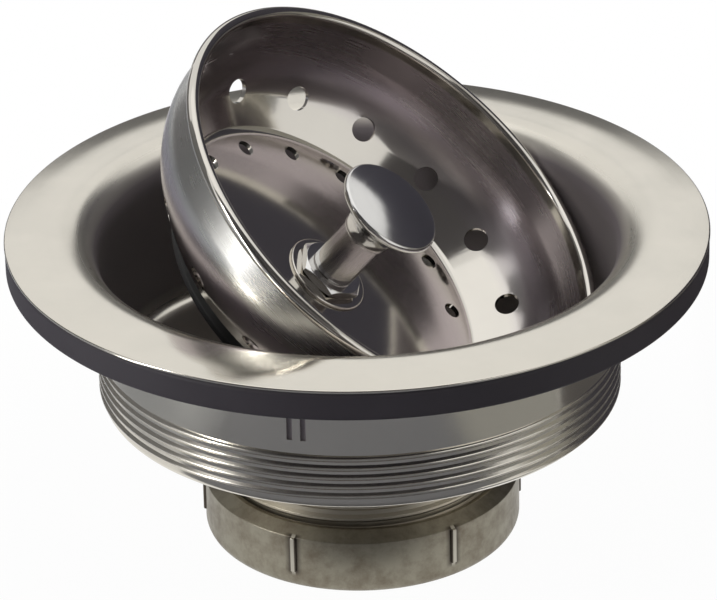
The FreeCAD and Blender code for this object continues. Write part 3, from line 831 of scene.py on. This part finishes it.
def steel(name, colour, dull_colour, rough, rough_spread, marks, mark_depth, matrix=Matrix.Identity(4)):
    """Steel with rings about the axis of a matrix: returns the material and what a finish may change."""
    material, shader, place = new_finish(name)
    own_place = upright_place(place, matrix)
    rings = turning_marks(own_place, marks)
    smudge = noise(place, 90, detail=3.0, roughness=0.6)
    tint = blend(place, smudge, colour, dull_colour)
    place.feed(shader.inputs["Base Color"], tint)
    dullness = rough + rough_spread * smudge * rings
    place.feed(shader.inputs["Roughness"], dullness)
    place.feed(shader.inputs["Normal"], bump(place, rings, mark_depth))
    shader.inputs["Metallic"].default_value = 1.0
    return material, shader, place, tint, dullness


def body_steel(name):
    """The satin of the flange and the shell, and the bowl's wall, darker with painted shade."""
    material, shader, place, tint, dullness = steel(
        name, (0.72, 0.68, 0.60), (0.64, 0.61, 0.54),
        rough=0.1, rough_spread=0.16, marks=2600, mark_depth=0.003)
    # The mask marks the bowl's wall and notches, where painted shade darkens the colour.
    drawn = shaded_bowl_wall(place)
    place.feed(shader.inputs["Base Color"], blend(place, drawn, tint, BOWL_SHADE_COLOUR))
    radius, height = radius_and_height(place)
    below = 1 - between(place, height, (flange_top - 4) * MM, (flange_top - 3) * MM)
    mouth = 1 - between(place, radius, (BOWL_RADIUS + 3) * MM, (BOWL_RADIUS + 7) * MM)
    softer = 0.04 * below + 0.26 * drawn + 0.14 * mouth * (1 - below)
    place.feed(shader.inputs["Roughness"], dullness + softer)
    place.feed(shader.inputs["Metallic"], 1 - 0.7 * drawn)
    return material


def cup_steel(name):
    """Polished in the cone and on the floor, a softer satin on the straight wall, darker with painted shade.
    """
    material, shader, place, tint, dullness = steel(
        name, (0.65, 0.62, 0.56), (0.59, 0.56, 0.51),
        rough=0.06, rough_spread=0.12, marks=1800, mark_depth=0.0015, matrix=lean)
    radius, height = radius_and_height(upright_place(place, lean))
    wall = between(place, radius, (CUP_WALL - 5) * MM, (CUP_WALL - 1.5) * MM)
    wall = wall * (1 - between(place, height, (RIM_TOP - 2.4) * MM, (RIM_TOP - 1.9) * MM))
    outside = between(place, radius, (CUP_WALL - 0.6) * MM, (CUP_WALL - 0.2) * MM)
    # The wall's colour is painted shade, darker inside the cup than outside.
    drawn = blend(place, outside, CUP_WALL_SHADE_INSIDE, CUP_WALL_SHADE_OUTSIDE)
    place.feed(shader.inputs["Base Color"], blend(place, wall, tint, drawn))
    place.feed(shader.inputs["Roughness"], dullness + 0.18 * wall)
    return material


satin_stainless = body_steel("satin_stainless")
polished_stainless = cup_steel("polished_stainless")
bright_plating = steel(
    "bright_plating", (0.70, 0.69, 0.67), (0.63, 0.62, 0.60),
    rough=0.1, rough_spread=0.15, marks=1500, mark_depth=0.003, matrix=lean)[0]
spring_steel = steel(
    "spring_steel", (0.55, 0.55, 0.55), (0.47, 0.47, 0.47),
    rough=0.25, rough_spread=0.2, marks=900, mark_depth=0.003, matrix=lean)[0]
neck_plating = steel(
    "neck_plating", (0.52, 0.47, 0.38), (0.40, 0.36, 0.28),
    rough=0.28, rough_spread=0.3, marks=2000, mark_depth=0.005)[0]
steels = (satin_stainless, polished_stainless, bright_plating, spring_steel, neck_plating)
print("steels", [finish.name for finish in steels])

# %% [markdown]
# ## Rubber, plastic and the dull nut
#
# Rubber is nearly black with a dusty bloom and a fine grain. The nut is plated a dull olive grey, with
# brown patches where the plating is thin. Shade is painted into the corners beside its ribs, and a
# highlight is painted on their tops. How far a place is from a rib comes from its angle about the axis:
# the angle is counted in ribs, and what is left over after the whole ones says how near the next rib is.


# %% Rubber, plastic and nut finishes
def rubber(name, colour, bloom, rough):
    material, shader, place = new_finish(name)
    cloud = noise(place, 60, detail=4.0, roughness=0.65)
    grain = noise(place, 2500)
    place.feed(shader.inputs["Base Color"], blend(place, cloud ** 2, colour, bloom))
    place.feed(shader.inputs["Roughness"], rough + 0.2 * cloud)
    place.feed(shader.inputs["Normal"], bump(place, grain, distance=0.03, strength=0.5))
    shader.inputs["Specular IOR Level"].default_value = 0.4
    return material


def from_rib(place):
    """How far along the nut's side a place is from the middle of the nearest rib."""
    radius = radius_and_height(place)[0]
    across = place.node("ShaderNodeSeparateXYZ", {}, {0: place}, "X")
    along = place.node("ShaderNodeSeparateXYZ", {}, {0: place}, "Y")
    ribs_passed = place.sum("ARCTAN2", along, across) * (NUT_RIB_COUNT / math.tau)
    part = place.sum("FRACT", ribs_passed + (0.5 - NUT_RIB_ANGLE * NUT_RIB_COUNT / 360), 0)
    return place.sum("ABSOLUTE", part - 0.5, 0) * (math.tau / NUT_RIB_COUNT) * radius


def dull_nut_finish(name):
    """Dull plating with brown patches, painted shade beside the ribs and a painted highlight on their tops.
    """
    material, shader, place = new_finish(name)
    patches = noise(place, 260, detail=5.0, roughness=0.7)
    grain = noise(place, 1400, detail=3.0, roughness=0.6)
    radius, height = radius_and_height(place)
    on_side = between(place, radius, (NUT_RADIUS - 0.6) * MM, (NUT_RADIUS - 0.3) * MM)
    on_side = on_side * between(place, height, (NUT_RIB_FOOT - 0.8) * MM, NUT_RIB_FOOT * MM)
    gap = from_rib(place)
    half_rib = NUT_RIB_WIDTH / 2
    # Painted highlight on the tops of the ribs, and painted shade in the corners beside them.
    rib_top_highlight = on_side * (1 - between(place, gap, (half_rib - 0.3) * MM, (half_rib - 0.15) * MM))
    rib_corner_shade = on_side * (1 - between(place, gap, half_rib * MM, (half_rib + 1.0) * MM)) * (1 - rib_top_highlight)
    olive, brown = (0.28, 0.26, 0.205), (0.13, 0.10, 0.07)
    plating = blend(place, 0.75 * between(place, patches, 0.4, 0.75), olive, brown)
    # The near-black is the painted shade beside the ribs, and the pale grey is the painted highlight on top.
    plating = blend(place, rib_corner_shade * 0.85, plating, (0.045, 0.035, 0.03))
    place.feed(shader.inputs["Base Color"], blend(place, rib_top_highlight * 0.7, plating, (0.55, 0.52, 0.45)))
    place.feed(shader.inputs["Roughness"], 0.3 + 0.25 * patches)
    place.feed(shader.inputs["Normal"], bump(place, grain, distance=0.012, strength=0.6))
    shader.inputs["Metallic"].default_value = 1.0
    return material


gasket_rubber = rubber("gasket_rubber", (0.045, 0.038, 0.046), (0.07, 0.062, 0.071), rough=0.5)
seal_rubber = rubber("seal_rubber", (0.015, 0.015, 0.015), (0.035, 0.034, 0.033), rough=0.45)
washer_plastic = rubber("washer_plastic", (0.72, 0.71, 0.66), (0.62, 0.60, 0.54), rough=0.4)
dull_nut = dull_nut_finish("dull_nut")
print("others", [finish.name for finish in (gasket_rubber, seal_rubber, washer_plastic, dull_nut)])

# %% [markdown]
# ## Dressing the pieces
#
# Each piece gets its finish and rides on the body that moves it, and the imported node that it stands
# for is hidden. Nodes whose imported shape is already right keep it and only get the finish.

# %% Finish, ride and replace
# Each row is a piece, its finish, the body that it rides on, its material slot and the node it stands for.
DRESSING = [
    (strainer_body, satin_stainless, "strainer", "satin_stainless", "strainer_body"),
    (shell_thread, satin_stainless, "strainer", "satin_stainless", None),
    (outlet_neck, neck_plating, "strainer", "neck_brass", "outlet_neck"),
    (neck_thread, neck_plating, "strainer", "neck_brass", None),
    (flange_gasket, gasket_rubber, "strainer", "gasket_rubber", "flange_gasket"),
    (coupling_nut, dull_nut, "nut", "dull_nut", "coupling_nut"),
    (basket_cup, polished_stainless, "basket", "polished_stainless", "basket_cup"),
    (basket_post, bright_plating, "basket", "plated_metal", "basket_post"),
    (pull_knob, bright_plating, "basket", "plated_metal", "pull_knob"),
    (post_washer, polished_stainless, "basket", "polished_stainless", "post_washer"),
    (post_nut, bright_plating, "basket", "plated_metal", "post_nut"),
    (end_nut, bright_plating, "basket", "plated_metal", "end_nut"),
    (stopper_seal, seal_rubber, "basket", "seal_rubber", "stopper_seal"),
    (seal_retainer, polished_stainless, "basket", "polished_stainless", "seal_retainer"),
]
for piece, finish, body, slot, node in DRESSING:
    piece.data.materials.clear()
    piece.data.materials.append(finish)
    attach(piece, body)
    if node:
        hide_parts(node)
KEPT_NODES = {"outlet_spider": satin_stainless, "tail_washer": washer_plastic, "snap_clip": spring_steel}
for node, finish in KEPT_NODES.items():
    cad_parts[node].data.materials.clear()
    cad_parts[node].data.materials.append(finish)
print(len(DRESSING), "pieces dressed,", len(KEPT_NODES), "nodes kept")

# %% [markdown]
# ## The stage
#
# The stage is a white sweep: a pale floor in a white surround. The surround is white to the camera and to
# mirrors, and dimmer as a light. The floor is white in the same way, and lets a little of the object's
# shadow through where it is near.


# %% Floor and surround
def seen_directly(tree):
    """One where a ray comes from the camera, a mirror or glass, and nought for the light on other things."""
    path = tree.nodes.new("ShaderNodeLightPath")
    camera, glossy, through = (
        Wire(tree, path.outputs[name]) for name in ("Is Camera Ray", "Is Glossy Ray", "Is Transmission Ray"))
    return camera.sum("MAXIMUM", camera.sum("MAXIMUM", camera, glossy), through)


SURROUND_LIGHT = 0.8
FLOOR_RADIUS = 3.0
PAPER_WHITE = 0.97
SHADOW_START, SHADOW_END = 0.06, 0.14

world = bpy.data.worlds.new("white_surround")
bpy.context.scene.world = world
world.use_nodes = True
back = world.node_tree.nodes["Background"]
seen = seen_directly(world.node_tree)
back.inputs["Color"].default_value = (1, 1, 1, 1)
seen.feed(back.inputs["Strength"], SURROUND_LIGHT + (1 - SURROUND_LIGHT) * seen)

bpy.ops.object.select_all(action="DESELECT")
bpy.ops.mesh.primitive_circle_add(vertices=96, radius=FLOOR_RADIUS, fill_type="NGON")
floor = bpy.context.object
floor.name = "floor"
paper, paper_shader, paper_place = new_finish("white_paper")
paper_shader.inputs["Base Color"].default_value = (0.86, 0.86, 0.86, 1)
paper_shader.inputs["Roughness"].default_value = 0.9
paper_tree = paper.node_tree
glow = paper_tree.nodes.new("ShaderNodeEmission")
mixed = paper_tree.nodes.new("ShaderNodeMixShader")
paper_seen = seen_directly(paper_tree)
from_object = radius_and_height(paper_place)[0]
past_shadow = between(paper_place, from_object, SHADOW_START, SHADOW_END)
paper_glow = PAPER_WHITE + (1 - PAPER_WHITE) * past_shadow
paper_seen.feed(mixed.inputs[0], paper_glow * paper_seen)
paper_tree.links.new(paper_shader.outputs[0], mixed.inputs[1])
paper_tree.links.new(glow.outputs[0], mixed.inputs[2])
paper_tree.links.new(mixed.outputs[0], paper_tree.nodes["Material Output"].inputs["Surface"])
floor.data.materials.append(paper)
print("stage", floor.name, "and", world.name)

# %% [markdown]
# ## Cards and lamps
#
# Polished metal shows what it mirrors. In an all-white room it would be a white shape with hardly an
# edge, so matt cards in several greys stand and lie round the object and hang over it, as in a studio.
# Each gives the steel a darker or lighter patch to mirror. A standing card is given by the angle at which
# it stands, and by how wide and how high it looks from the object, in degrees. A narrow lamp and a
# glowing strip on the floor, in the gap between two cards, draw the upright highlight on the thread. A
# wide lamp above fills the rest.


# %% Cards
def card(name, size, place, angle, grey, standing=True, glow=0.0):
    """A matt card of a size in metres, turned by an angle about Z. The camera doesn't see it."""
    bpy.ops.object.select_all(action="DESELECT")
    bpy.ops.mesh.primitive_plane_add(size=1)
    made = bpy.context.object
    made.name = name
    tilt = Matrix.Rotation(math.radians(90 if standing else 0), 4, "X")
    made.matrix_world = Matrix.Translation(place) @ about_z(angle) @ tilt @ Matrix.Diagonal((*size, 1, 1))
    made.visible_camera = False
    felt, felt_shader = new_finish(name + "_felt")[:2]
    felt_shader.inputs["Base Color"].default_value = (*grey, 1)
    felt_shader.inputs["Roughness"].default_value = 1.0
    felt_shader.inputs["Specular IOR Level"].default_value = 0.0
    felt_shader.inputs["Emission Color"].default_value = (1, 1, 1, 1)
    felt_shader.inputs["Emission Strength"].default_value = glow
    made.data.materials.append(felt)


def around(azimuth, reach, height):
    """A place in metres at an angle from straight behind the object, clockwise as seen from above."""
    return Vector((reach * math.sin(math.radians(azimuth)), reach * math.cos(math.radians(azimuth)), height))


MIDDLE = Vector((0, 0, 0.045))
CARD_REACH = 0.7
STANDING_CARDS = [
    ("card_back", 0, 56, 21, (0.26, 0.26, 0.26)),
    ("card_right_back", 46.5, 61, 38, (0.115, 0.11, 0.135)),
    ("card_right", 89, 24, 50, (0.62, 0.60, 0.54)),
    ("card_front_left", -139.5, 31, 64, (0.16, 0.155, 0.16)),
    ("card_left", -79, 38, 64, (0.34, 0.34, 0.34)),
    ("card_left_back", -45, 30, 22, (0.34, 0.33, 0.33)),
]
for name, azimuth, width, rise, grey in STANDING_CARDS:
    wide = 2 * CARD_REACH * math.tan(math.radians(width / 2))
    high = MIDDLE.z + CARD_REACH * math.tan(math.radians(rise))
    card(name, (wide, high), around(azimuth, CARD_REACH, high / 2), -azimuth, grey)
card("card_room", (1.1, 0.8), (0, -0.95, 0.4), 0, (0.26, 0.25, 0.25))
LYING_CARDS = [
    ("card_above", (1.0, 0.6), (0, -0.45, 0.55), (0.22, 0.21, 0.215)),
    ("card_table", (1.2, 0.55), (0, -0.309, 0.001), (0.36, 0.37, 0.41)),
    ("card_left_floor", (0.62, 0.475), (-0.39, 0.1625, 0.002), (0.52, 0.54, 0.58)),
    ("card_right_floor", (0.64, 0.10), (0.38, -0.072, 0.002), (0.60, 0.60, 0.58)),
    ("card_dark_floor", (0.64, 0.52), (0.38, 0.239, 0.002), (0.20, 0.19, 0.19)),
]
for name, size, place, grey in LYING_CARDS:
    card(name, size, place, 0, grey, standing=False)
STRIP_AZIMUTH = -115
card("light_strip", (0.018, 0.47), around(STRIP_AZIMUTH, 0.365, 0.003), -STRIP_AZIMUTH, (0.8, 0.8, 0.8),
     standing=False, glow=4.0)
print(len(STANDING_CARDS) + 1, "cards stand,", len(LYING_CARDS) + 1, "lie")


# %% Lamps
def lamp(name, place, size, power):
    """A soft rectangular lamp, sizes in metres, that looks at the middle of the object."""
    light = bpy.data.lights.new(name, "AREA")
    light.shape = "RECTANGLE"
    light.size, light.size_y = size
    light.energy = power
    holder = bpy.data.objects.new(name, light)
    bpy.context.collection.objects.link(holder)
    holder.location = place
    holder.rotation_mode = "QUATERNION"
    holder.rotation_quaternion = (MIDDLE - place).to_track_quat("-Z", "Y")


lamp("lamp_left", around(STRIP_AZIMUTH, 0.66, 0.24), (0.035, 0.48), power=1.6)
lamp("lamp_top", Vector((0, 0.16, 0.95)), (0.8, 0.8), power=0.5)
print("lamps", [light.name for light in bpy.data.lights])

# %% [markdown]
# ## The camera
#
# The camera looks down at the front with a long lens, from the height at which the photograph's circles
# come out as the same ellipses, and leans by about a degree.

# %% Camera
CAMERA_RISE = math.radians(27.08)
CAMERA_ROLL = math.radians(-1.23)
CAMERA_REACH = 800.0
CAMERA_TARGET = Vector((0.02, 0, 40.42))
CAMERA_LENS = 246.06
CAMERA_SENSOR = 36.0

back_way = Vector((0, -math.cos(CAMERA_RISE), math.sin(CAMERA_RISE)))
level_up = Vector((0, math.sin(CAMERA_RISE), math.cos(CAMERA_RISE)))
level_right = Vector((1, 0, 0))
right = math.cos(CAMERA_ROLL) * level_right + math.sin(CAMERA_ROLL) * level_up
up = math.cos(CAMERA_ROLL) * level_up - math.sin(CAMERA_ROLL) * level_right
camera_data = bpy.data.cameras.new("camera")
camera_data.lens = CAMERA_LENS
camera_data.sensor_fit = "HORIZONTAL"
camera_data.sensor_width = CAMERA_SENSOR
camera = bpy.data.objects.new("camera", camera_data)
bpy.context.collection.objects.link(camera)
camera.matrix_world = Matrix.Translation((CAMERA_TARGET + back_way * CAMERA_REACH) * MM) @ Matrix(
    (right, up, back_way)).transposed().to_4x4()
bpy.context.scene.camera = camera
bpy.context.scene.view_settings.view_transform = "Standard"
print("camera at", tuple(camera.location))
